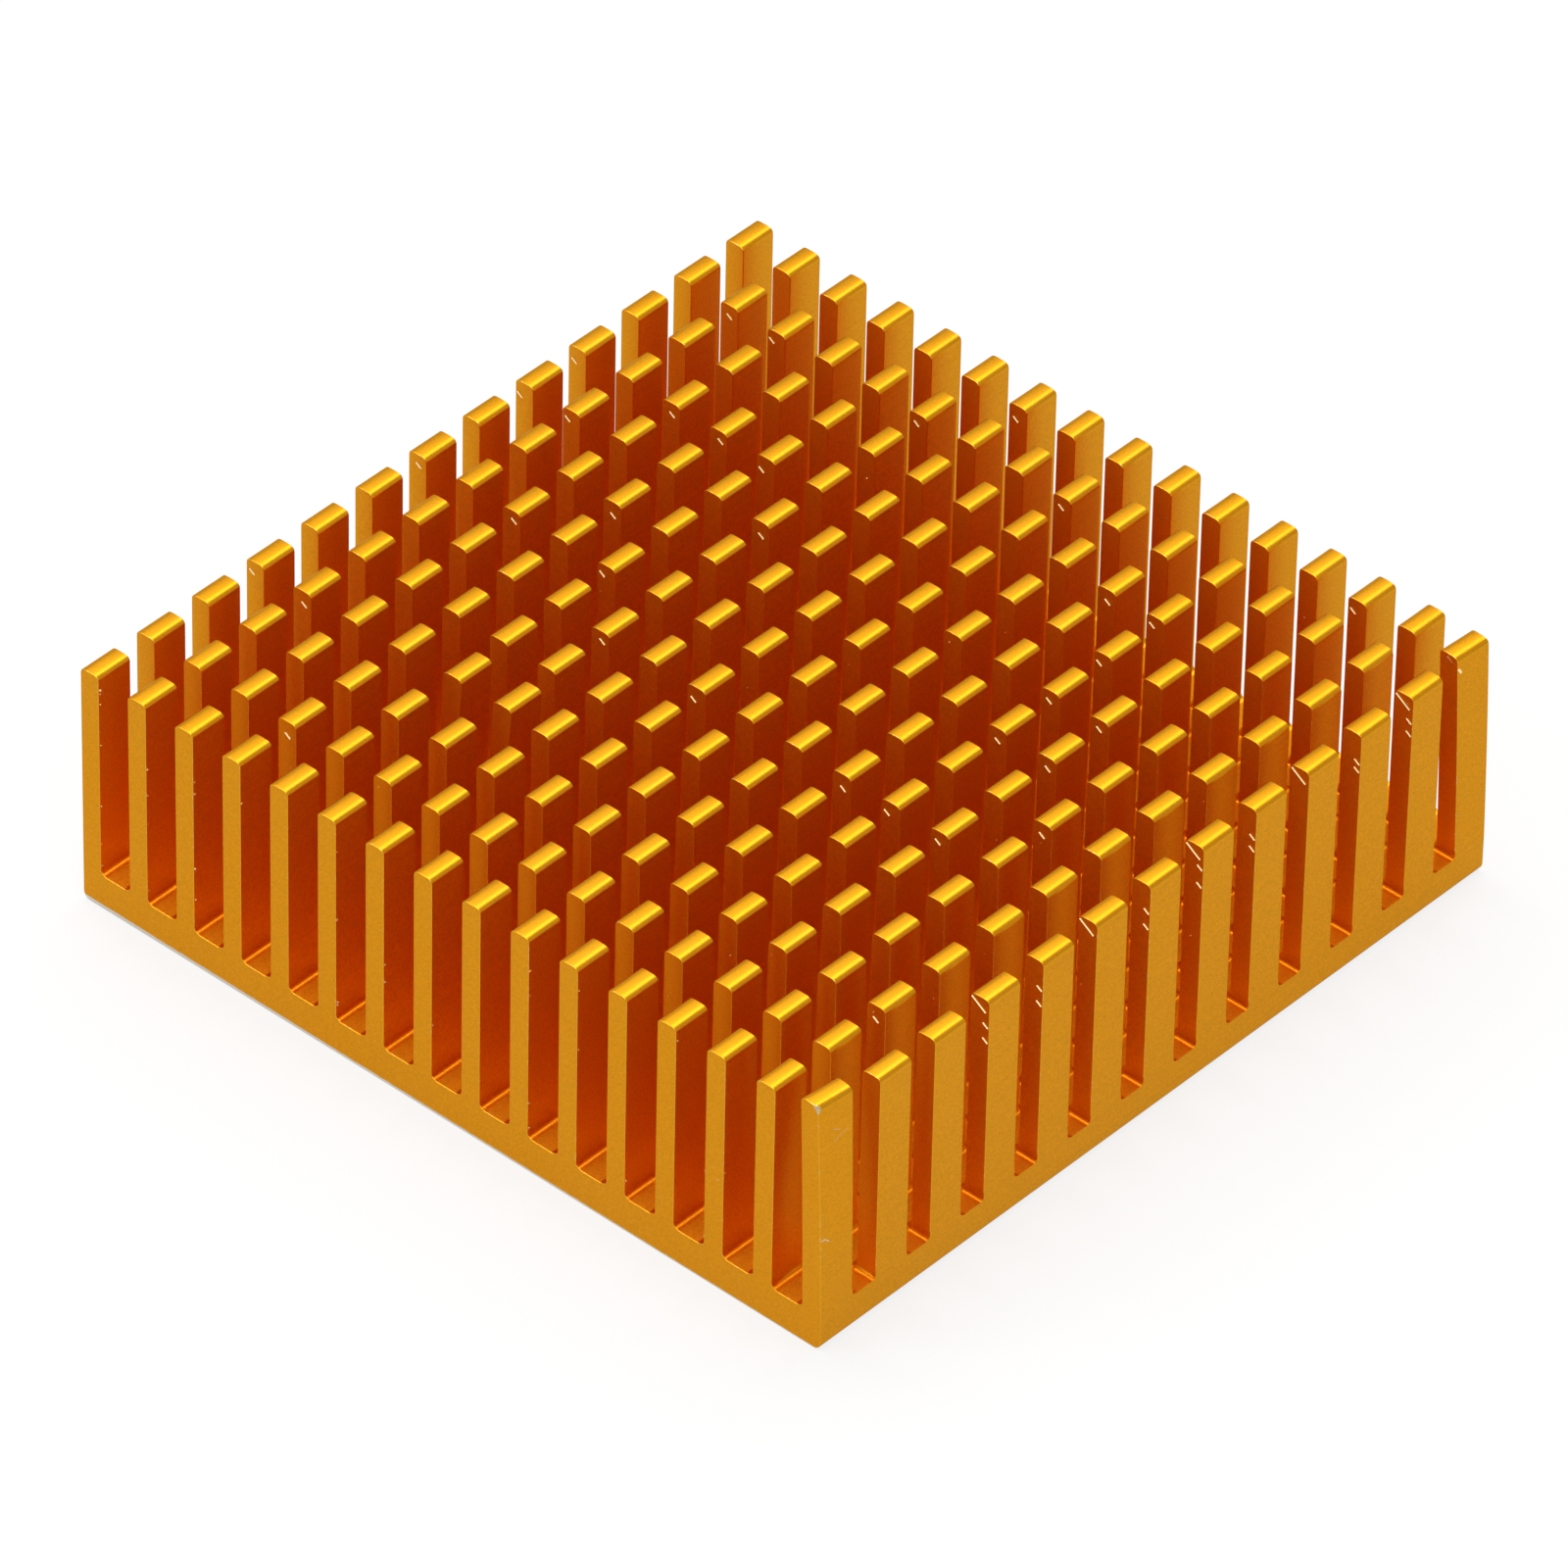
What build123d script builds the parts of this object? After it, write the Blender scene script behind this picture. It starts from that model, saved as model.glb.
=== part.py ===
from build123d import *
import os

# Heat sink: one piece of extruded and cross-sawn aluminium.
# An extruded bar with upright fins is sawn across, which leaves a grid of square-cut pins on a thin base.
# Millimetres. The origin is the middle of the underside, +Z runs up the pins, Y runs along the fins
# and X runs across them.

# Extruded section
fin_count = 16
fin_pitch = 3.25
fin_thickness = 1.25
base_thickness = 2.2
overall_height = 15.0
tip_chamfer = 0.2
groove_root_chamfer = 0.2
base_corner_radius = 0.5

# Sawing
length = 50.0
slot_count = 12
slot_width = 1.7
slot_overcut = 0.05
slot_root_chamfer = 0.2
end_pin_length = 2.315

# Knocked pins: how far the tip has gone along X and Y, and how far it has turned about Z in degrees.
# The first is at the corner with the highest X and the lowest Y, the second at the highest X and Y.
near_corner_tip_shift = (-0.72, 0.45)
near_corner_tip_turn = -5.5
far_corner_tip_shift = (-0.4, -0.05)
far_corner_tip_turn = -3.0
bend_at_half_height = 0.4

# Two more stand side by side inside the grid, and lean without turning. Fins and rows count from 0.
leaning_row = 3
leaning_fin = 4
leaning_fin_tip_shift = (0.33, 0.26)
next_fin_tip_shift = (0.46, 0.26)

# What follows from the sizes above
last_fin = fin_count - 1
last_row = slot_count
width = last_fin * fin_pitch + fin_thickness
slot_pitch = (length - 2 * end_pin_length - slot_width) / (slot_count - 1)
slot_floor = base_thickness - slot_overcut
bend_start = base_thickness + max(groove_root_chamfer, slot_root_chamfer)


def centred_row(count, pitch):
    """Places of a row of features that is centred on zero."""
    return [(k - (count - 1) / 2) * pitch for k in range(count)]


fin_places = centred_row(fin_count, fin_pitch)
slot_places = centred_row(slot_count, slot_pitch)


def section():
    """The extruded section: base and fins, with softened tips, roots and lower corners."""
    with BuildSketch(Plane.XZ) as sketch:
        Rectangle(width, base_thickness, align=(Align.CENTER, Align.MIN))
        with Locations(*[(x, 0) for x in fin_places]):
            Rectangle(fin_thickness, overall_height, align=(Align.CENTER, Align.MIN))
        chamfer(sketch.vertices().group_by(Axis.Y)[1], groove_root_chamfer)
        chamfer(sketch.vertices().group_by(Axis.Y)[-1], tip_chamfer)
        fillet(sketch.vertices().group_by(Axis.Y)[0], base_corner_radius)
    return sketch.sketch


def saw_cuts():
    """One cut for each slot, as deep as the saw went, right across the fins, with softened roots."""
    depth = overall_height - slot_floor
    with BuildSketch(Plane.YZ) as sketch:
        with Locations(*[(y, slot_floor) for y in slot_places]):
            Rectangle(slot_width, 2 * depth, align=(Align.CENTER, Align.MIN))
        chamfer(sketch.vertices().group_by(Axis.Y)[0], slot_root_chamfer)
    return extrude(sketch.sketch, amount=width, both=True)


def pin_span(row):
    """Where a row of pins starts and ends along Y, between its two saw cuts or the sawn end."""
    start = -length / 2 if row == 0 else slot_places[row - 1] + slot_width / 2
    end = length / 2 if row == last_row else slot_places[row] - slot_width / 2
    return start, end


def bent_pin(fin, row, tip_shift, tip_turn):
    """A pin that was knocked over: its section drifts and turns from the root to the tip."""
    start, end = pin_span(row)
    middle = (fin_places[fin], (start + end) / 2)
    sections = []
    for height_share, bend_share in ((0, 0), (0.5, bend_at_half_height), (1, 1)):
        place = Pos(
            middle[0] + tip_shift[0] * bend_share,
            middle[1] + tip_shift[1] * bend_share,
            bend_start + (overall_height - bend_start) * height_share,
        )
        sections.append(place * Rot(0, 0, tip_turn * bend_share) * Rectangle(fin_thickness, end - start))
    pin = loft(sections)
    tip_edges = pin.edges().group_by(Axis.Z)[-1].sort_by(Axis.X)
    return chamfer([tip_edges[0], tip_edges[-1]], tip_chamfer)


def straight_pin_space(fin, row):
    """The space that a straight pin takes above its root, with a little air round it."""
    start, end = pin_span(row)
    air = slot_width / 4
    size = (fin_thickness + 2 * air, end - start + 2 * air, overall_height)
    place = Pos(fin_places[fin], (start + end) / 2, bend_start)
    return place * Box(*size, align=(Align.CENTER, Align.CENTER, Align.MIN))


def heat_sink():
    """The whole piece."""
    body = extrude(section(), amount=length / 2, both=True) - saw_cuts()
    bends = (
        (last_fin, 0, near_corner_tip_shift, near_corner_tip_turn),
        (last_fin, last_row, far_corner_tip_shift, far_corner_tip_turn),
        (leaning_fin, leaning_row, leaning_fin_tip_shift, 0),
        (leaning_fin + 1, leaning_row, next_fin_tip_shift, 0),
    )
    for fin, row, tip_shift, tip_turn in bends:
        body = body - straight_pin_space(fin, row) + bent_pin(fin, row, tip_shift, tip_turn)
    return body


os.makedirs("parts", exist_ok=True)
piece = heat_sink()
piece.label = "heat_sink"
export_step(piece, "parts/heat_sink.step")
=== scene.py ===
import math
import random

import bmesh
import bpy
from mathutils import Matrix, Quaternion, Vector


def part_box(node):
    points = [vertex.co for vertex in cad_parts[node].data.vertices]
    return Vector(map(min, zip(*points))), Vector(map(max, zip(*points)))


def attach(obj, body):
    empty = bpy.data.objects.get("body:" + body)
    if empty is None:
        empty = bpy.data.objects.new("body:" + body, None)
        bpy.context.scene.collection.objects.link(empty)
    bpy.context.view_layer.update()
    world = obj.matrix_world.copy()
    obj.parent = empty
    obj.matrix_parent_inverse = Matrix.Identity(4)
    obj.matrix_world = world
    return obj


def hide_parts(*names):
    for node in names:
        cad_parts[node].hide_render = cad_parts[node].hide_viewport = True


# A pin-fin heat sink of gold-anodised aluminium, lying on a white table.
# Lengths are in metres and angles in degrees.
# Z runs up the pins, Y along the extruded fins and X across them.
# Fins count from 0 at the lowest X and rows of pins from 0 at the lowest Y.

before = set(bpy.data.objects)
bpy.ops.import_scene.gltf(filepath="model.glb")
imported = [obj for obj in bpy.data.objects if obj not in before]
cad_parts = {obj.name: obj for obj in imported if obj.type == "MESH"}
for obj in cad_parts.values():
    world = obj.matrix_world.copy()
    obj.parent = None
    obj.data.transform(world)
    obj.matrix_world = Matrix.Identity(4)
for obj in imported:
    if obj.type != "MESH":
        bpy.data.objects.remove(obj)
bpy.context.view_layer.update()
low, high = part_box("heat_sink")
mm = 0.001

# The extrusion. The edges of a tip lie lower than its middle by the drop, and a fullness of 2 is an ellipse.
fin_count = 16
fin_thickness = 1.25 * mm
base_thickness = 2.2 * mm
tip_drop = 0.30 * mm
tip_fullness = 4
tip_cuts = 9
groove_root_width = 0.38 * mm
groove_root_rise = 0.22 * mm
base_corner_radius = 0.5 * mm
base_corner_segments = 5
fin_pitch = (high.x - low.x - fin_thickness) / (fin_count - 1)

# The saw cuts, which go a little deeper than the grooves
slot_count = 12
row_count = slot_count + 1
slot_width = 1.7 * mm
slot_overcut = 0.05 * mm
slot_root_width = 0.36 * mm
slot_root_rise = 0.22 * mm
root_segments = 3
end_pin_length = 2.315 * mm
slot_floor = base_thickness - slot_overcut
slot_pitch = (high.y - low.y - 2 * end_pin_length - slot_width) / (slot_count - 1)
blade_radius = 73 * mm

# The worn arrises of the sawn faces: how wide they are, how far above the grooves they start, and how sharply
# faces meet that wear there. Faces that meet at less than the soft angle are shaded as one.
arris = 0.045 * mm
arris_start = 0.5 * mm
worn_angle = 35.0
soft_angle = 50.0

# Pins that were knocked: fin, row, how far the tip has gone along X and Y, and its turn.
# A share of the bend is even from root to tip, and the rest grows towards the tip.
knocked_pins = (
    (fin_count - 1, 0, -0.72 * mm, 0.45 * mm, -5.5),
    (fin_count - 1, row_count - 1, -0.4 * mm, -0.05 * mm, -3.0),
    (4, 3, 0.33 * mm, 0.26 * mm, 0.0),
    (5, 3, 0.46 * mm, 0.26 * mm, 0.0),
)
bend_steps = 6
even_share = 0.6
chip_depth = 0.1 * mm

# Slivers that the blade left standing across the faces at low Y, loose crumbs, and burrs on the low-Y end.
# The last fin has long slivers from corner to edge and short ones lower down, the others a few short ones.
# A start is from the fin's low-X side, a drop is from the tips, and the crumbs and burrs are sized by radius.
sliver_seed = 5
sliver_width = 0.12 * mm
sliver_thickness = 0.03 * mm
sliver_slope = 34.0
sliver_tilt = 25.0
long_sliver_rows = (3, 5, 7, 9, 11, 12)
long_sliver_start = 0.10 * mm
long_sliver_length = 1.1 * mm
long_sliver_drop = 0.2 * mm
low_sliver_rows = (3, 4, 6, 7, 8, 10, 11)
low_sliver_start = 0.85 * mm
low_sliver_length = 0.4 * mm
low_sliver_drops = (1.2 * mm, 2.1 * mm)
short_sliver_share = 0.22
short_sliver_length = 0.42 * mm
crumb_count = 70
crumb_size = 0.045 * mm
burr_count = 70
burr_size = 0.11 * mm

# Scratches: two ends and a width in millimetres, and how bare the metal is
scratches = (
    ((24.75, -24.89, 6.89), (24.79, -24.60, 6.92), 0.08, 0.9),
    ((24.79, -24.60, 6.92), (24.81, -24.28, 6.63), 0.07, 0.7),
    ((24.46, -23.72, 12.49), (24.50, -22.78, 12.80), 0.06, 0.25),
    ((24.40, -23.68, 13.20), (24.44, -23.28, 13.00), 0.06, 0.3),
    ((18.10, -25.00, 7.01), (18.50, -24.88, 7.07), 0.07, 0.7),
)

# The bare strip along the lower edge of the front sawn end, which narrows from low X to high X
strip_height_low = 0.29 * mm
strip_height_high = 0.10 * mm
strip_raggedness = 0.04 * mm
strip_rim = 0.02 * mm

# The camera. Its lens and sensor are in millimetres, as Blender takes them.
camera_azimuth = 41.42
camera_elevation = 39.92
camera_roll = 1.23
camera_lens = 373.35
camera_sensor = 36
camera_distance = 820.8 * mm
camera_target = Vector((-2.23, 2.33, 3.85)) * mm
camera_nearest = 10 * mm
camera_furthest = 20

# The room and its square softboxes, which face the object: name, azimuth, elevation, side and radiance.
# One is overhead, three behind and one in front line the edges, and one gives the slivers their glint.
room_strength = 0.505
softbox_distance = 0.8
softboxes = (
    ("top_softbox", 220, 87, 0.5, 2.2),
    ("back_softbox", 221, 60, 0.55, 1.0),
    ("far_softbox", 190, 54, 0.35, 1.15),
    ("left_softbox", 268, 59, 0.3, 2.0),
    ("glint_softbox", 56, 46, 0.3, 2.0),
    ("rim_softbox", 322, 35, 0.3, 2.8),
)

# The table, and how much it is lifted towards white where the camera sees it, and where the metal shows it
table_side = 8
table_gap = 0.01 * mm
table_lift_seen = 0.75
table_lift_in_metal = 0.45

# Colours, as linear values
white = (1, 1, 1, 1)
gold = (0.955, 0.408, 0.012, 1)
gold_worn = (0.98, 0.54, 0.07, 1)
gold_at_grazing = (1.0, 0.90, 0.65, 1)
bare_aluminium = (0.90, 0.87, 0.80, 1)
thin_gold = (1.0, 0.46, 0.025, 1)
worn_edge = (1.0, 0.60, 0.15, 1)
torn_aluminium = (1.0, 0.76, 0.38, 1)
paper_white = (0.25, 0.25, 0.25, 1)

# Roughness: the smoothest and the roughest spot of a finish that varies, or one value
flank_roughness = (0.40, 0.46)
groove_floor_roughness = (0.56, 0.62)
sawn_roughness = (0.46, 0.52)
rounded_roughness = (0.27, 0.33)
bare_roughness = (0.26, 0.46)
worn_roughness = 0.3
table_roughness = 0.9

# Which finish a face has
EXTRUDED, SAWN, SMOOTH, ARRIS, BARE, TORN, FLOOR = range(7)

# How near to a cut a point is taken to lie on it, and how near two points are taken for one
on_cut = 1e-8
same_point = 0.001 * mm


# Shape


def fin_sides(fin):
    """Where a fin starts and ends along X."""
    start = low.x + fin * fin_pitch
    return start, start + fin_thickness


def slot_sides(slot):
    """Where a saw cut starts and ends along Y."""
    start = low.y + end_pin_length + slot * slot_pitch
    return start, start + slot_width


def row_sides(row):
    """Where a row of pins starts and ends along Y."""
    start = low.y if row == 0 else slot_sides(row - 1)[1]
    end = high.y if row == slot_count else slot_sides(row)[0]
    return start, end


fins = [fin_sides(fin) for fin in range(fin_count)]
slots = [slot_sides(slot) for slot in range(slot_count)]
rows = [row_sides(row) for row in range(row_count)]


def holds(spans, value, margin=0.0):
    """Whether one of the spans, widened by the margin, holds the value."""
    return any(start - margin < value < end + margin for start, end in spans)


def root_steps(width):
    """Distances from a wall of the lines along its rounded root."""
    return [width * (1 - math.cos(math.pi / 2 * k / root_segments)) for k in range(1, root_segments + 1)]


def root_height(distance, width, rise):
    """How high a rounded root stands above the floor at this distance from the wall."""
    if distance >= width:
        return 0.0
    return rise * (1 - math.sqrt(1 - (1 - distance / width) ** 2))


def whole(bm):
    """Every corner, edge and face of the mesh."""
    return bm.verts[:] + bm.edges[:] + bm.faces[:]


def with_borders(faces):
    """The faces together with their edges and corners, each once and always in the same order."""
    edges = dict.fromkeys(edge for face in faces for edge in face.edges)
    verts = dict.fromkeys(vert for face in faces for vert in face.verts)
    return [*verts, *edges, *faces]


def only(kind, parts):
    """The parts that are of one kind: corners, edges or faces."""
    return [part for part in parts if isinstance(part, kind)]


def cut_across(bm, parts, place, normal, **options):
    """Cuts parts of the mesh along a plane."""
    return bmesh.ops.bisect_plane(bm, geom=parts, dist=on_cut, plane_co=place, plane_no=normal, **options)


def cut_lines(bm, places, axis):
    """Cuts the whole sheet straight across at each of these places along an axis."""
    for place in places:
        cut_across(bm, whole(bm), axis * place, axis)


def new_sheet(bm, size_x, size_y, centre):
    """A level rectangle."""
    bmesh.ops.create_grid(bm, x_segments=1, y_segments=1, size=0.5)
    bmesh.ops.scale(bm, vec=(size_x, size_y, 1), verts=bm.verts)
    bmesh.ops.translate(bm, vec=centre, verts=bm.verts)


def mark_out_sheet(bm):
    """The footprint as one sheet, cut along the sides and the rounded roots of fins and slots."""
    across = {side for fin in fins for side in fin} - {fins[0][0], fins[-1][1]}
    for step in root_steps(groove_root_width):
        across |= {end + step for _, end in fins[:-1]} | {start - step for start, _ in fins[1:]}
    along = {side for slot in slots for side in slot}
    for step in root_steps(slot_root_width):
        along |= {start + step for start, _ in slots} | {end - step for _, end in slots}
    new_sheet(bm, high.x - low.x, high.y - low.y, ((low.x + high.x) / 2, (low.y + high.y) / 2, low.z))
    cut_lines(bm, sorted(across), Vector((1, 0, 0)))
    cut_lines(bm, sorted(along), Vector((0, 1, 0)))


def raise_faces(bm, faces, height):
    """Extrudes faces straight up as one region and returns the faces on top."""
    made = bmesh.ops.extrude_face_region(bm, geom=with_borders(faces))["geom"]
    bmesh.ops.translate(bm, vec=(0, 0, height), verts=only(bmesh.types.BMVert, made))
    return only(bmesh.types.BMFace, made)


def raise_body(bm):
    """The slab up to the slot floors, the rows up to the groove floors, and the pins."""
    slab = raise_faces(bm, bm.faces[:], slot_floor - low.z)
    between_slots = [f for f in slab if holds(rows, f.calc_center_median().y)]
    ridges = raise_faces(bm, between_slots, base_thickness - slot_floor)
    feet = [f for f in ridges if holds(fins, f.calc_center_median().x)]
    stubs = raise_faces(bm, feet, arris_start)
    raise_faces(bm, stubs, high.z - base_thickness - arris_start)


def round_roots(bm):
    """Lifts the floors of grooves and slots where they meet the walls of the pins."""
    near = 0.1 * slot_overcut
    for vert in bm.verts:
        x, y, z = vert.co
        in_fin = holds(fins, x, near)
        if abs(z - slot_floor) < near and in_fin and holds(slots, y, near):
            start, end = next(slot for slot in slots if holds([slot], y, near))
            from_wall = max(min(y - start, end - y, key=abs), 0)
            vert.co.z += root_height(from_wall, slot_root_width, slot_root_rise)
        elif abs(z - base_thickness) < near:
            from_fin = 0 if in_fin else min(abs(x - side) for fin in fins for side in fin)
            vert.co.z += root_height(from_fin, groove_root_width, groove_root_rise)
    bmesh.ops.remove_doubles(bm, verts=bm.verts, dist=same_point)


def clear_underside(bm):
    """Makes the underside one face again."""
    lowest = [f for f in bm.faces if all(v.co.z < low.z + arris for v in f.verts)]
    bmesh.ops.dissolve_faces(bm, faces=lowest)


def name_finishes(bm):
    """Marks each face as the bare underside, a rounded root, sawn, the floor of a groove, or extruded."""
    upward, level = 0.1, 0.99
    root_top = base_thickness + groove_root_rise
    for face in bm.faces:
        centre, normal = face.calc_center_median(), face.normal
        on_slot_floor = normal.z > upward and holds(slots, centre.y) and centre.z < base_thickness
        if normal.z < -0.5:
            face.material_index = BARE
        elif upward < normal.z < level and centre.z < root_top:
            face.material_index = SMOOTH
        elif abs(normal.y) > 0.5 or on_slot_floor:
            face.material_index = SAWN
        elif normal.z > level and centre.z < root_top:
            face.material_index = FLOOR
        else:
            face.material_index = EXTRUDED


def round_tips(bm):
    """Rounds every tip along the fin, fuller than a circle, and marks the tips."""
    across_tips = [
        e
        for e in bm.edges
        if min(v.co.z for v in e.verts) > high.z - arris
        and abs(e.verts[0].co.x - e.verts[1].co.x) > abs(e.verts[0].co.y - e.verts[1].co.y)
    ]
    bmesh.ops.subdivide_edges(bm, edges=across_tips, cuts=tip_cuts, use_grid_fill=True)
    for vert in bm.verts:
        if vert.co.z > high.z - arris:
            middle = min((sum(fin) / 2 for fin in fins), key=lambda place: abs(vert.co.x - place))
            out = min(2 * (vert.co.x - middle) / fin_thickness, 1)
            out = math.sin(math.pi / 2 * max(out, -1))
            vert.co.x = middle + out * fin_thickness / 2
            vert.co.z -= tip_drop * (1 - math.sqrt(max(1 - abs(out) ** tip_fullness, 0)))
    bm.normal_update()
    for face in bm.faces:
        if face.normal.z > 0.01 and face.calc_center_median().z > high.z - tip_drop:
            face.material_index = SMOOTH


def knock_pin(bm, fin, row, shift_x, shift_y, turn):
    """Bends one pin over: its section drifts and turns from the root to the tip."""
    root = base_thickness + groove_root_rise
    middle = Vector((sum(fins[fin]) / 2, sum(rows[row]) / 2, 0))
    pin = [
        f
        for f in bm.faces
        if holds([fins[fin]], f.calc_center_median().x, arris)
        and holds([rows[row]], f.calc_center_median().y, arris)
        and f.calc_center_median().z > root
    ]
    for step in range(1, bend_steps):
        height = root + (high.z - root) * step / bend_steps
        cut = cut_across(bm, with_borders(pin), (0, 0, height), (0, 0, 1))
        pin = only(bmesh.types.BMFace, cut["geom"])
    for vert in {v for face in pin for v in face.verts}:
        share = (vert.co.z - root) / (high.z - root)
        bend = even_share * share + (1 - even_share) * share**2
        flat = Vector((vert.co.x, vert.co.y, 0)) - middle
        flat.rotate(Matrix.Rotation(math.radians(turn) * bend, 3, "Z"))
        vert.co.x = middle.x + flat.x + shift_x * bend
        vert.co.y = middle.y + flat.y + shift_y * bend


def bevel(bm, edges, width, segments):
    """Rounds edges and returns the new faces."""
    made = bmesh.ops.bevel(
        bm, geom=edges, offset=width, offset_type="OFFSET", segments=segments, profile=0.5,
        affect="EDGES", material=-1, clamp_overlap=False,
    )
    return made["faces"]


def round_base(bm):
    """Rounds the two long lower edges of the base."""
    lower_edges = [
        e
        for e in bm.edges
        if all(v.co.z < low.z + arris for v in e.verts)
        and (all(v.co.x < low.x + arris for v in e.verts) or all(v.co.x > high.x - arris for v in e.verts))
    ]
    bevel(bm, lower_edges, base_corner_radius, base_corner_segments)


def break_arrises(bm):
    """Wears the sharp edges between a sawn face and another, above the roots and at the two sawn ends."""
    stub_top = base_thickness + 0.9 * arris_start
    sharp = [
        e
        for e in bm.edges
        if len(e.link_faces) == 2
        and e.calc_face_angle_signed() > math.radians(worn_angle)
        and (e.link_faces[0].material_index == SAWN) != (e.link_faces[1].material_index == SAWN)
        and any(abs(f.normal.y) > 0.9 for f in e.link_faces)
        and (min(v.co.z for v in e.verts) > stub_top or min(abs(v.co.y) for v in e.verts) > high.y - arris)
    ]
    for face in bevel(bm, sharp, arris, 1):
        face.material_index = ARRIS


def chip_corner(bm):
    """Knocks the corner off the tip of the near corner pin."""
    outward = Vector((1, -1, 1)).normalized()
    corner = max((v.co for v in bm.verts), key=lambda co: co.dot(outward)).copy()
    cut = cut_across(bm, whole(bm), corner - outward * chip_depth, outward, clear_outer=True)
    rim = only(bmesh.types.BMEdge, cut["geom_cut"])
    for face in bmesh.ops.contextual_create(bm, geom=rim)["faces"]:
        face.material_index = TORN


def corner_normals(bm):
    """For every corner of every face, the normal of the faces round it that meet softly, by their areas."""
    soft = math.radians(soft_angle)
    normals = []
    for face in bm.faces:
        for vert in face.verts:
            around = [f for f in vert.link_faces if f.normal.angle(face.normal, 0) < soft]
            normals.append(sum((f.normal * f.calc_area() for f in around), Vector()).normalized())
    return normals


def new_object(name, data):
    """An object in the scene, at the origin."""
    made = bpy.data.objects.new(name, data)
    bpy.context.scene.collection.objects.link(made)
    return made


def new_mesh_object(name, bm):
    """An object in the scene with the shape in bm, which is then let go."""
    mesh = bpy.data.meshes.new(name)
    bm.to_mesh(mesh)
    bm.free()
    return new_object(name, mesh)


def build_heat_sink():
    """The whole piece as one closed mesh."""
    bm = bmesh.new()
    mark_out_sheet(bm)
    raise_body(bm)
    round_roots(bm)
    clear_underside(bm)
    bmesh.ops.recalc_face_normals(bm, faces=bm.faces)
    bm.normal_update()
    name_finishes(bm)
    round_tips(bm)
    for knock in knocked_pins:
        knock_pin(bm, *knock)
    round_base(bm)
    bm.normal_update()
    break_arrises(bm)
    chip_corner(bm)
    bm.normal_update()
    for face in bm.faces:
        face.smooth = True
    normals = corner_normals(bm)
    made = new_mesh_object("dressed_heat_sink", bm)
    made.data.normals_split_custom_set(normals)
    return made


def add_sliver(bm, fin, row, start, length, drop):
    """A sliver on the low-Y face of a pin, sloping down towards high X."""
    slope, tilt = math.radians(sliver_slope), math.radians(sliver_tilt)
    run = Vector((math.cos(slope), 0, -math.sin(slope)))
    up = Vector((math.sin(slope), 0, math.cos(slope)))
    place = Vector((fins[fin][0] + start, rows[row][0], high.z - drop)) + run * length / 2
    turn = Matrix((run, up.cross(run), up)).transposed().to_4x4() @ Matrix.Rotation(tilt, 4, "X")
    size = Matrix.Diagonal((length, sliver_width, sliver_thickness, 1))
    bmesh.ops.create_cube(bm, size=1, matrix=Matrix.Translation(place) @ turn @ size)


def add_slivers(bm, chance):
    """The long and the lower slivers of the last fin, and a few short ones on the other fins."""
    last = fin_count - 1
    for row in long_sliver_rows:
        add_sliver(bm, last, row, long_sliver_start, long_sliver_length, long_sliver_drop)
    for row in low_sliver_rows:
        for drop in low_sliver_drops:
            add_sliver(bm, last, row, low_sliver_start, low_sliver_length, drop + chance.uniform(0, 0.5) * mm)
    for fin in range(last):
        for row in range(1, row_count):
            if chance.random() < short_sliver_share:
                start = chance.uniform(0.15, 0.65) * mm
                add_sliver(bm, fin, row, start, short_sliver_length, chance.uniform(0.5, 0.8) * mm)


def add_grit(bm, spot, size, turn, width, thickness):
    """A squashed ball of metal, turned about Y, with its width and thickness as shares of its length."""
    shape = Matrix.Rotation(turn, 4, "Y") @ Matrix.Diagonal((1, width, thickness, 1))
    bmesh.ops.create_icosphere(bm, subdivisions=1, radius=size, matrix=Matrix.Translation(spot) @ shape)


def add_crumbs(bm, chance):
    """Loose crumbs on the low-Y faces of the pins."""
    for _ in range(crumb_count):
        fin, row = chance.randrange(fin_count), chance.randrange(1, row_count)
        x = fins[fin][0] + fin_thickness * chance.uniform(0.15, 0.85)
        z = high.z - chance.uniform(0.5, 8.5) * mm
        size = crumb_size * chance.uniform(0.6, 1.4)
        add_grit(bm, Vector((x, rows[row][0], z)), size, chance.uniform(0, 3), 0.7, 0.6)


def add_burrs(bm, chance):
    """Burrs on the upright edges of the low-Y end, more of them towards the first fins."""
    for _ in range(burr_count):
        fin, side = int(fin_count * chance.random() ** 2), chance.randrange(2)
        spot = Vector((fins[fin][side], low.y + burr_size, low.z + chance.uniform(2.6, 14.6) * mm))
        if low.x + burr_size < spot.x < high.x - burr_size:
            size = burr_size * chance.uniform(0.5, 1)
            add_grit(bm, spot, size, chance.uniform(0, 3), 0.8, 0.5)


def build_slivers():
    """The slivers, crumbs and burrs that the saw left, as one mesh of small closed pieces."""
    chance = random.Random(sliver_seed)
    bm = bmesh.new()
    add_slivers(bm, chance)
    add_crumbs(bm, chance)
    add_burrs(bm, chance)
    return new_mesh_object("saw_slivers", bm)


# Patterns and materials


def feed(tree, socket, value):
    """Gives an input a value, or links another node's output to it."""
    if isinstance(value, bpy.types.NodeSocket):
        tree.links.new(value, socket)
    else:
        socket.default_value = value


def add_node(tree, kind, inputs=None, **settings):
    """Adds a node, sets its settings, and gives its inputs values or links."""
    made = tree.nodes.new(kind)
    for name, value in settings.items():
        setattr(made, name, value)
    for name, value in (inputs or {}).items():
        feed(tree, made.inputs[name], value)
    return made


def calc(tree, operation, *values, clamp=False):
    """A Math node on these values or sockets."""
    inputs = dict(enumerate(values))
    return add_node(tree, "ShaderNodeMath", inputs, operation=operation, use_clamp=clamp).outputs[0]


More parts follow.
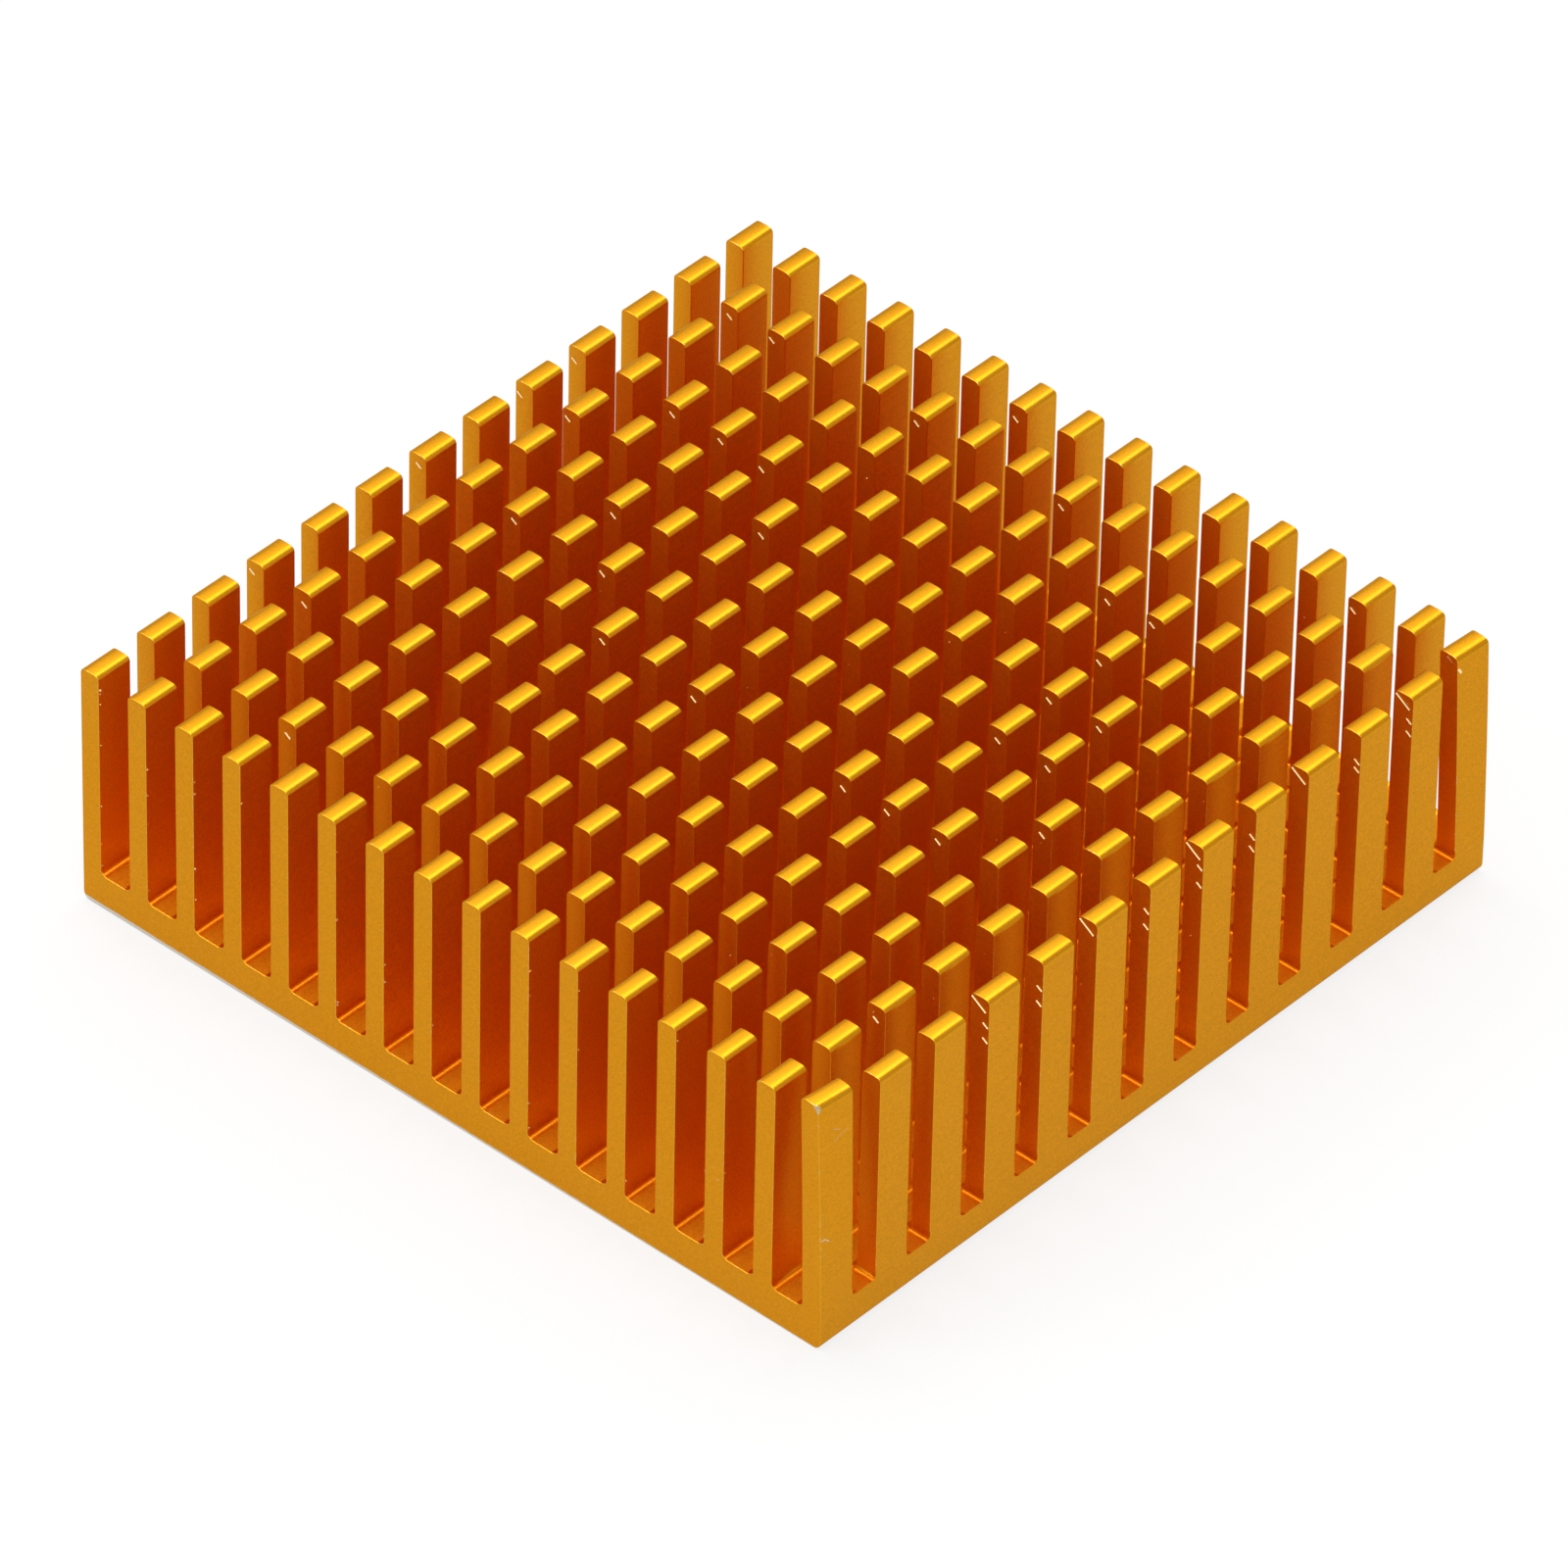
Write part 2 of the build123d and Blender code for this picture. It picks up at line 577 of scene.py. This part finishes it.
def ramp(tree, value, start, end, low_value=0.0, high_value=1.0):
    """Maps a value that runs from start to end, clamped."""
    return add_node(
        tree, "ShaderNodeMapRange",
        {"Value": value, "From Min": start, "From Max": end, "To Min": low_value, "To Max": high_value},
    ).outputs["Result"]


def noise(tree, place, scale, detail):
    """A noise pattern: a value round 0.5."""
    return add_node(
        tree, "ShaderNodeTexNoise", {"Vector": place, "Scale": scale, "Detail": detail}
    ).outputs["Fac"]


def separate(tree, vector):
    """The X, Y and Z of a vector."""
    return add_node(tree, "ShaderNodeSeparateXYZ", {"Vector": vector}).outputs


def combine(tree, x, y, z):
    """A vector of three values."""
    return add_node(tree, "ShaderNodeCombineXYZ", {"X": x, "Y": y, "Z": z}).outputs["Vector"]


def new_group(name, inputs, output):
    """A shader group with inputs, each with its default number or vector, and one float output."""
    tree = bpy.data.node_groups.new(name, "ShaderNodeTree")
    for socket, value in inputs.items():
        kind = "NodeSocketVector" if isinstance(value, tuple) else "NodeSocketFloat"
        tree.interface.new_socket(socket, in_out="INPUT", socket_type=kind).default_value = value
    tree.interface.new_socket(output, in_out="OUTPUT", socket_type="NodeSocketFloat")
    given = tree.nodes.new("NodeGroupInput").outputs
    result = tree.nodes.new("NodeGroupOutput").inputs[output]
    place = add_node(tree, "ShaderNodeTexCoord").outputs["Object"]
    return tree, given, result, place


def use_group(tree, group, **inputs):
    """Places a group in a material with its own values. Underscores in names stand for spaces."""
    made = add_node(tree, "ShaderNodeGroup", node_tree=group)
    for name, value in inputs.items():
        feed(tree, made.inputs[name.replace("_", " ")], value)
    return made.outputs[0]


def grain_group():
    """Fine grain of the anodised skin: a value round 0.5."""
    tree, given, result, place = new_group("anodised_grain", {"Size": 0.1 * mm, "Detail": 2.0}, "Value")
    tree.links.new(noise(tree, place, calc(tree, "DIVIDE", 1.0, given["Size"]), given["Detail"]), result)
    return tree


def drift_group():
    """Slow, cloudy change over the surface, as the dye took more here and less there: a value round 0.5."""
    tree, given, result, place = new_group("dye_drift", {"Size": 9 * mm}, "Value")
    tree.links.new(noise(tree, place, calc(tree, "DIVIDE", 1.0, given["Size"]), 2.0), result)
    return tree


def die_lines_group():
    """Fine lines that the die drew along Y: a value round 0.5."""
    tree, given, result, place = new_group("die_lines", {"Spacing": 0.1 * mm, "Length": 20 * mm}, "Value")
    parts = separate(tree, place)
    stretched = combine(
        tree,
        calc(tree, "DIVIDE", parts["X"], given["Spacing"]),
        calc(tree, "DIVIDE", parts["Y"], given["Length"]),
        calc(tree, "DIVIDE", parts["Z"], given["Spacing"]),
    )
    tree.links.new(noise(tree, stretched, 1.0, 3.0), result)
    return tree


def saw_arcs_group():
    """Arcs that the blade drew on the cut faces: a value round 0.5."""
    spacing_along_y, spacing_along_z = 0.2 * mm, 20 * mm
    tree, given, result, place = new_group(
        "saw_arcs", {"Blade Radius": blade_radius, "Cut Depth": slot_floor, "Spacing": 0.1 * mm}, "Value"
    )
    parts = separate(tree, place)
    blade_centre = calc(tree, "ADD", given["Blade Radius"], given["Cut Depth"])
    below_centre = calc(tree, "SUBTRACT", blade_centre, parts["Z"])
    squared = calc(
        tree, "SUBTRACT", calc(tree, "MULTIPLY", given["Blade Radius"], given["Blade Radius"]),
        calc(tree, "MULTIPLY", below_centre, below_centre),
    )
    arc = calc(tree, "ADD", parts["X"], calc(tree, "SQRT", calc(tree, "MAXIMUM", squared, 0.0)))
    spot = combine(
        tree,
        calc(tree, "DIVIDE", arc, given["Spacing"]),
        calc(tree, "DIVIDE", parts["Y"], spacing_along_y),
        calc(tree, "DIVIDE", parts["Z"], spacing_along_z),
    )
    tree.links.new(noise(tree, spot, 1.0, 2.0), result)
    return tree


def specks_group():
    """Small separate specks: a mask that is 1 inside one. A higher threshold leaves fewer and smaller."""
    speck_rim = 0.03
    tree, given, result, place = new_group("specks", {"Size": 0.2 * mm, "Threshold": 0.7}, "Mask")
    spots = noise(tree, place, calc(tree, "DIVIDE", 1.0, given["Size"]), 1.0)
    full = calc(tree, "ADD", given["Threshold"], speck_rim)
    tree.links.new(ramp(tree, spots, given["Threshold"], full), result)
    return tree


def scratch_group():
    """A straight scratch from Start to End: a mask that is 1 inside it."""
    tree, given, result, place = new_group(
        "scratch", {"Start": (0.0, 0.0, 0.0), "End": (0.0, 0.0, mm), "Width": 0.06 * mm}, "Mask"
    )

    def vector(operation, first, second):
        return add_node(tree, "ShaderNodeVectorMath", {0: first, 1: second}, operation=operation).outputs

    along = vector("SUBTRACT", given["End"], given["Start"])["Vector"]
    offset = vector("SUBTRACT", place, given["Start"])["Vector"]
    reached = vector("DOT_PRODUCT", offset, along)["Value"]
    share = calc(tree, "DIVIDE", reached, vector("DOT_PRODUCT", along, along)["Value"], clamp=True)
    nearest = add_node(tree, "ShaderNodeVectorMath", {0: along, "Scale": share}, operation="SCALE").outputs
    distance = vector("DISTANCE", offset, nearest["Vector"])["Value"]
    half = calc(tree, "MULTIPLY", given["Width"], 0.5)
    tree.links.new(ramp(tree, distance, half, calc(tree, "MULTIPLY", half, 0.5)), result)
    return tree


def bare_strip_group():
    """The bare strip along the lower edge of the front sawn end, with a ragged upper rim."""
    rim_detail_size = 0.4 * mm
    front_depth = 0.2 * mm
    tree, given, result, place = new_group(
        "bare_strip",
        {"Low Height": strip_height_low, "High Height": strip_height_high, "Raggedness": strip_raggedness},
        "Mask",
    )
    parts = separate(tree, place)
    rim = ramp(tree, parts["X"], low.x, high.x, given["Low Height"], given["High Height"])
    ragged = noise(tree, place, 1 / rim_detail_size, 3.0)
    wander = calc(tree, "MULTIPLY", calc(tree, "SUBTRACT", ragged, 0.5), given["Raggedness"])
    below = calc(tree, "SUBTRACT", calc(tree, "ADD", rim, calc(tree, "MULTIPLY", wander, 2.0)), parts["Z"])
    inside = ramp(tree, below, 0.0, strip_rim)
    front = ramp(tree, parts["Y"], low.y + front_depth, low.y + front_depth / 2)
    tree.links.new(calc(tree, "MULTIPLY", inside, front), result)
    return tree


def new_material(name, metallic=1.0):
    """A material with one Principled shader."""
    material = bpy.data.materials.new(name)
    material.use_nodes = True
    tree = material.node_tree
    shader = tree.nodes["Principled BSDF"]
    shader.inputs["Metallic"].default_value = metallic
    return material, tree, shader


def new_gold(name):
    """A material for anodised skin, which stays gold where it is seen at a low angle."""
    material, tree, shader = new_material(name)
    shader.inputs["Specular Tint"].default_value = gold_at_grazing
    return material, tree, shader


def mix_colours(tree, factor, first, second):
    """A colour between two, each a value or a socket."""
    return add_node(tree, "ShaderNodeMix", {0: factor, 6: first, 7: second}, data_type="RGBA").outputs[2]


def shaded(colour, share):
    """The same colour, darker or lighter by a share."""
    return tuple(min(part * share, 1.0) for part in colour[:3]) + (1,)


def dyed(tree, groups, pattern, spread):
    """The gold dye, lighter and darker with a fine pattern and the grain, and paler with a slow drift."""
    drift = use_group(tree, groups["drift"], Size=9 * mm)
    grain = use_group(tree, groups["grain"], Size=0.12 * mm, Detail=3.0)
    both = calc(tree, "ADD", calc(tree, "MULTIPLY", pattern, 0.2), calc(tree, "MULTIPLY", grain, 0.8))
    darker, lighter = shaded(gold, 1 - spread), shaded(gold, 1 + spread / 2)
    fine = mix_colours(tree, ramp(tree, both, 0.36, 0.64), darker, lighter)
    return mix_colours(tree, ramp(tree, drift, 0.35, 0.65, 0.0, 0.06), fine, gold_worn)


def scratched(tree, groups, colour):
    """The same colour with the scratches over it."""
    for first, second, width, bareness in scratches:
        mask = use_group(
            tree, groups["scratch"], Start=Vector(first) * mm, End=Vector(second) * mm, Width=width * mm
        )
        colour = mix_colours(tree, calc(tree, "MULTIPLY", mask, bareness), colour, bare_aluminium)
    return colour


def roughened(tree, shader, pattern, roughness):
    """Makes a shader smoother and rougher with a pattern, between the two values of its roughness."""
    tree.links.new(ramp(tree, pattern, 0.3, 0.7, *roughness), shader.inputs["Roughness"])


def bumped(tree, shader, height, strength):
    """Gives a shader bumps a hundredth of a millimetre high from a pattern."""
    bump = add_node(tree, "ShaderNodeBump", {"Height": height, "Strength": strength, "Distance": 0.01 * mm})
    tree.links.new(bump.outputs["Normal"], shader.inputs["Normal"])


def drawn_gold(groups, name, roughness):
    """Anodised skin as the die left it, with faint lines along the fins."""
    material, tree, shader = new_gold(name)
    lines = use_group(tree, groups["die_lines"], Spacing=0.12 * mm, Length=25 * mm)
    grain = use_group(tree, groups["grain"], Size=0.07 * mm, Detail=2.0)
    specks = use_group(tree, groups["specks"], Size=0.16 * mm, Threshold=0.76)
    colour = mix_colours(tree, specks, dyed(tree, groups, lines, 0.12), gold_worn)
    tree.links.new(scratched(tree, groups, colour), shader.inputs["Base Color"])
    roughened(tree, shader, grain, roughness)
    bumped(tree, shader, grain, 0.10)
    return material


def extruded_gold(groups):
    """The satin flanks of the fins."""
    return drawn_gold(groups, "anodised_extruded", flank_roughness)


def floor_gold(groups):
    """The floors of the grooves, duller than the flanks."""
    return drawn_gold(groups, "anodised_groove_floor", groove_floor_roughness)


def sawn_gold(groups):
    """Anodised skin over saw marks: duller, with arcs from the blade, and bare along the front lower edge."""
    material, tree, shader = new_gold("anodised_sawn")
    arcs = use_group(tree, groups["saw_arcs"], Spacing=0.12 * mm)
    grain = use_group(tree, groups["grain"], Size=0.06 * mm, Detail=3.0)
    strip = use_group(tree, groups["bare_strip"])
    specks = use_group(tree, groups["specks"], Size=0.14 * mm, Threshold=0.75)
    colour = mix_colours(tree, specks, dyed(tree, groups, arcs, 0.10), gold_worn)
    colour = mix_colours(tree, strip, scratched(tree, groups, colour), bare_aluminium)
    tree.links.new(colour, shader.inputs["Base Color"])
    roughened(tree, shader, grain, sawn_roughness)
    bumped(tree, shader, arcs, 0.08)
    return material


def smooth_gold(groups):
    """Anodised skin on the tips and the rounded roots: the smoothest, with a few streaks along the fins."""
    material, tree, shader = new_gold("anodised_smooth")
    streaks = use_group(tree, groups["die_lines"], Spacing=0.3 * mm, Length=40 * mm)
    grain = use_group(tree, groups["grain"], Size=0.07 * mm, Detail=2.0)
    tree.links.new(dyed(tree, groups, streaks, 0.08), shader.inputs["Base Color"])
    roughened(tree, shader, grain, rounded_roughness)
    bumped(tree, shader, streaks, 0.06)
    return material


def arris_gold(groups):
    """The edges of the sawn faces, where the skin is thin and nicked in places."""
    material, tree, shader = new_gold("anodised_arris")
    nicks = use_group(tree, groups["specks"], Size=0.2 * mm, Threshold=0.62)
    strip = use_group(tree, groups["bare_strip"])
    colour = mix_colours(tree, strip, mix_colours(tree, nicks, thin_gold, worn_edge), bare_aluminium)
    tree.links.new(colour, shader.inputs["Base Color"])
    shader.inputs["Roughness"].default_value = worn_roughness
    return material


def bare_metal(groups):
    """Bare machined metal, with the strokes of the belt that faced it."""
    material, tree, shader = new_material("bare_aluminium")
    strokes = use_group(tree, groups["die_lines"], Spacing=0.15 * mm, Length=9 * mm)
    drift = use_group(tree, groups["drift"], Size=6 * mm)
    lines = mix_colours(tree, ramp(tree, strokes, 0.3, 0.7), shaded(bare_aluminium, 0.72), bare_aluminium)
    clouds = ramp(tree, drift, 0.35, 0.65, 0.0, 0.3)
    tree.links.new(
        mix_colours(tree, clouds, lines, shaded(bare_aluminium, 0.85)), shader.inputs["Base Color"]
    )
    roughened(tree, shader, strokes, bare_roughness)
    bumped(tree, shader, strokes, 0.3)
    return material


def torn_metal(groups):
    """Torn metal: slivers and the chipped corner, bare and bright."""
    material, tree, shader = new_gold("torn_aluminium")
    grain = use_group(tree, groups["grain"], Size=0.05 * mm, Detail=2.0)
    colour = mix_colours(tree, grain, shaded(torn_aluminium, 0.85), torn_aluminium)
    tree.links.new(colour, shader.inputs["Base Color"])
    shader.inputs["Roughness"].default_value = worn_roughness
    return material


def dress(piece, slivers):
    """Gives the piece its finishes, in the order of the face marks, and the slivers theirs."""
    groups = {
        "grain": grain_group(),
        "die_lines": die_lines_group(),
        "saw_arcs": saw_arcs_group(),
        "specks": specks_group(),
        "bare_strip": bare_strip_group(),
        "scratch": scratch_group(),
        "drift": drift_group(),
    }
    for finish in (extruded_gold, sawn_gold, smooth_gold, arris_gold, bare_metal, torn_metal, floor_gold):
        piece.data.materials.append(finish(groups))
    slivers.data.materials.append(piece.data.materials[TORN])


# Studio


def direction(azimuth, elevation):
    """The unit vector from the object towards this azimuth and elevation. Azimuth 0 is at low Y."""
    a, e = math.radians(azimuth), math.radians(elevation)
    return Vector((math.sin(a) * math.cos(e), -math.cos(a) * math.cos(e), math.sin(e)))


def softbox(name, azimuth, elevation, side, radiance):
    """A square area lamp that faces the object."""
    data = bpy.data.lights.new(name, "AREA")
    data.shape = "SQUARE"
    data.size = side
    data.energy = radiance * math.pi * side**2
    lamp = new_object(name, data)
    back = direction(azimuth, elevation)
    lamp.location = back * softbox_distance
    lamp.rotation_mode = "QUATERNION"
    lamp.rotation_quaternion = (-back).to_track_quat("-Z", "Y")


def white_table():
    """A wide table top that shows white to the camera and in the metal, and keeps the object's shadow."""
    bm = bmesh.new()
    new_sheet(bm, table_side, table_side, (0, 0, low.z - table_gap))
    table = new_mesh_object("table", bm)
    material, tree, shader = new_material("table_white", metallic=0.0)
    shader.inputs["Base Color"].default_value = paper_white
    shader.inputs["Roughness"].default_value = table_roughness
    shader.inputs["Specular IOR Level"].default_value = 0.0
    shader.inputs["Emission Color"].default_value = white
    rays = add_node(tree, "ShaderNodeLightPath").outputs
    in_metal = calc(tree, "MAXIMUM", rays["Is Glossy Ray"], rays["Is Transmission Ray"])
    seen_lift = calc(tree, "MULTIPLY", rays["Is Camera Ray"], table_lift_seen)
    lift = calc(tree, "ADD", seen_lift, calc(tree, "MULTIPLY", in_metal, table_lift_in_metal))
    tree.links.new(lift, shader.inputs["Emission Strength"])
    table.data.materials.append(material)


def light_studio():
    """A pale room and its softboxes."""
    world = bpy.data.worlds.new("room")
    bpy.context.scene.world = world
    world.use_nodes = True
    background = world.node_tree.nodes["Background"]
    background.inputs["Color"].default_value = white
    background.inputs["Strength"].default_value = room_strength
    for lamp in softboxes:
        softbox(*lamp)


def place_camera():
    """The camera at the photograph's angle."""
    data = bpy.data.cameras.new("camera")
    data.lens = camera_lens
    data.sensor_width = camera_sensor
    data.clip_start = camera_nearest
    data.clip_end = camera_furthest
    camera = new_object("camera", data)
    back = direction(camera_azimuth, camera_elevation)
    camera.location = camera_target + back * camera_distance
    camera.rotation_mode = "QUATERNION"
    level = (-back).to_track_quat("-Z", "Y")
    camera.rotation_quaternion = level @ Quaternion((0, 0, 1), math.radians(camera_roll))
    bpy.context.scene.camera = camera


piece = build_heat_sink()
slivers = build_slivers()
dress(piece, slivers)
for made in (piece, slivers):
    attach(made, "root")
    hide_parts("heat_sink")
white_table()
light_studio()
place_camera()
bpy.context.scene.view_settings.view_transform = "Standard"

# Light goes to and fro many times between the pins
bpy.context.scene.cycles.glossy_bounces = 12
bpy.context.scene.cycles.max_bounces = 16
